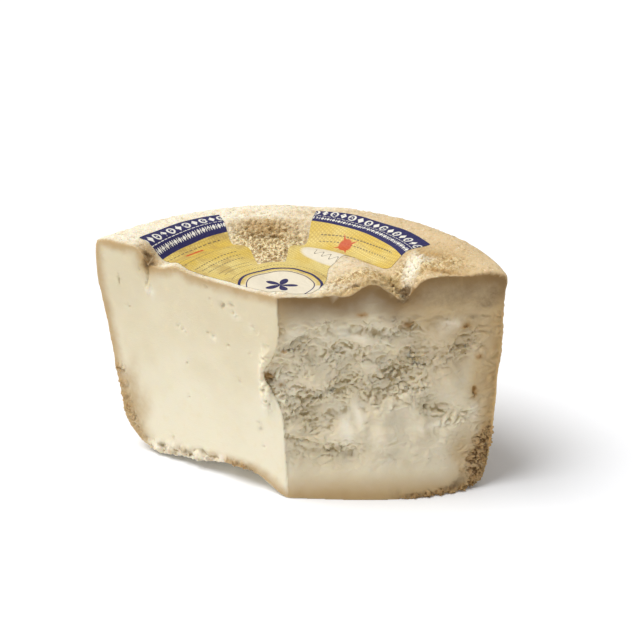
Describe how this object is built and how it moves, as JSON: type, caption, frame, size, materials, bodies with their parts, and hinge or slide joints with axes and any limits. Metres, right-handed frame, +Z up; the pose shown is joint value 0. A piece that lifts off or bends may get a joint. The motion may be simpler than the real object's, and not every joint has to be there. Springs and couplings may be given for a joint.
{
  "type": "castelmagno cheese",
  "caption": "Cut piece of a tall, crumbly mountain cheese with a smooth cut face, a broken face, a pressed top and a paper label.",
  "frame": {"origin": "centre of the piece's box, at the level of its underside", "axes": "+X to the right along the longest side, -Y towards the two cut faces and their front edge, +Z up"},
  "size_m": [0.2292, 0.1304, 0.1323],
  "materials": {
    "cheese": "matte, a little waxy",
    "label_paper": "printed, matte"
  },
  "bodies": {
    "root": {"cheese": "cheese", "label": "label_paper"}
  },
  "joints": []
}
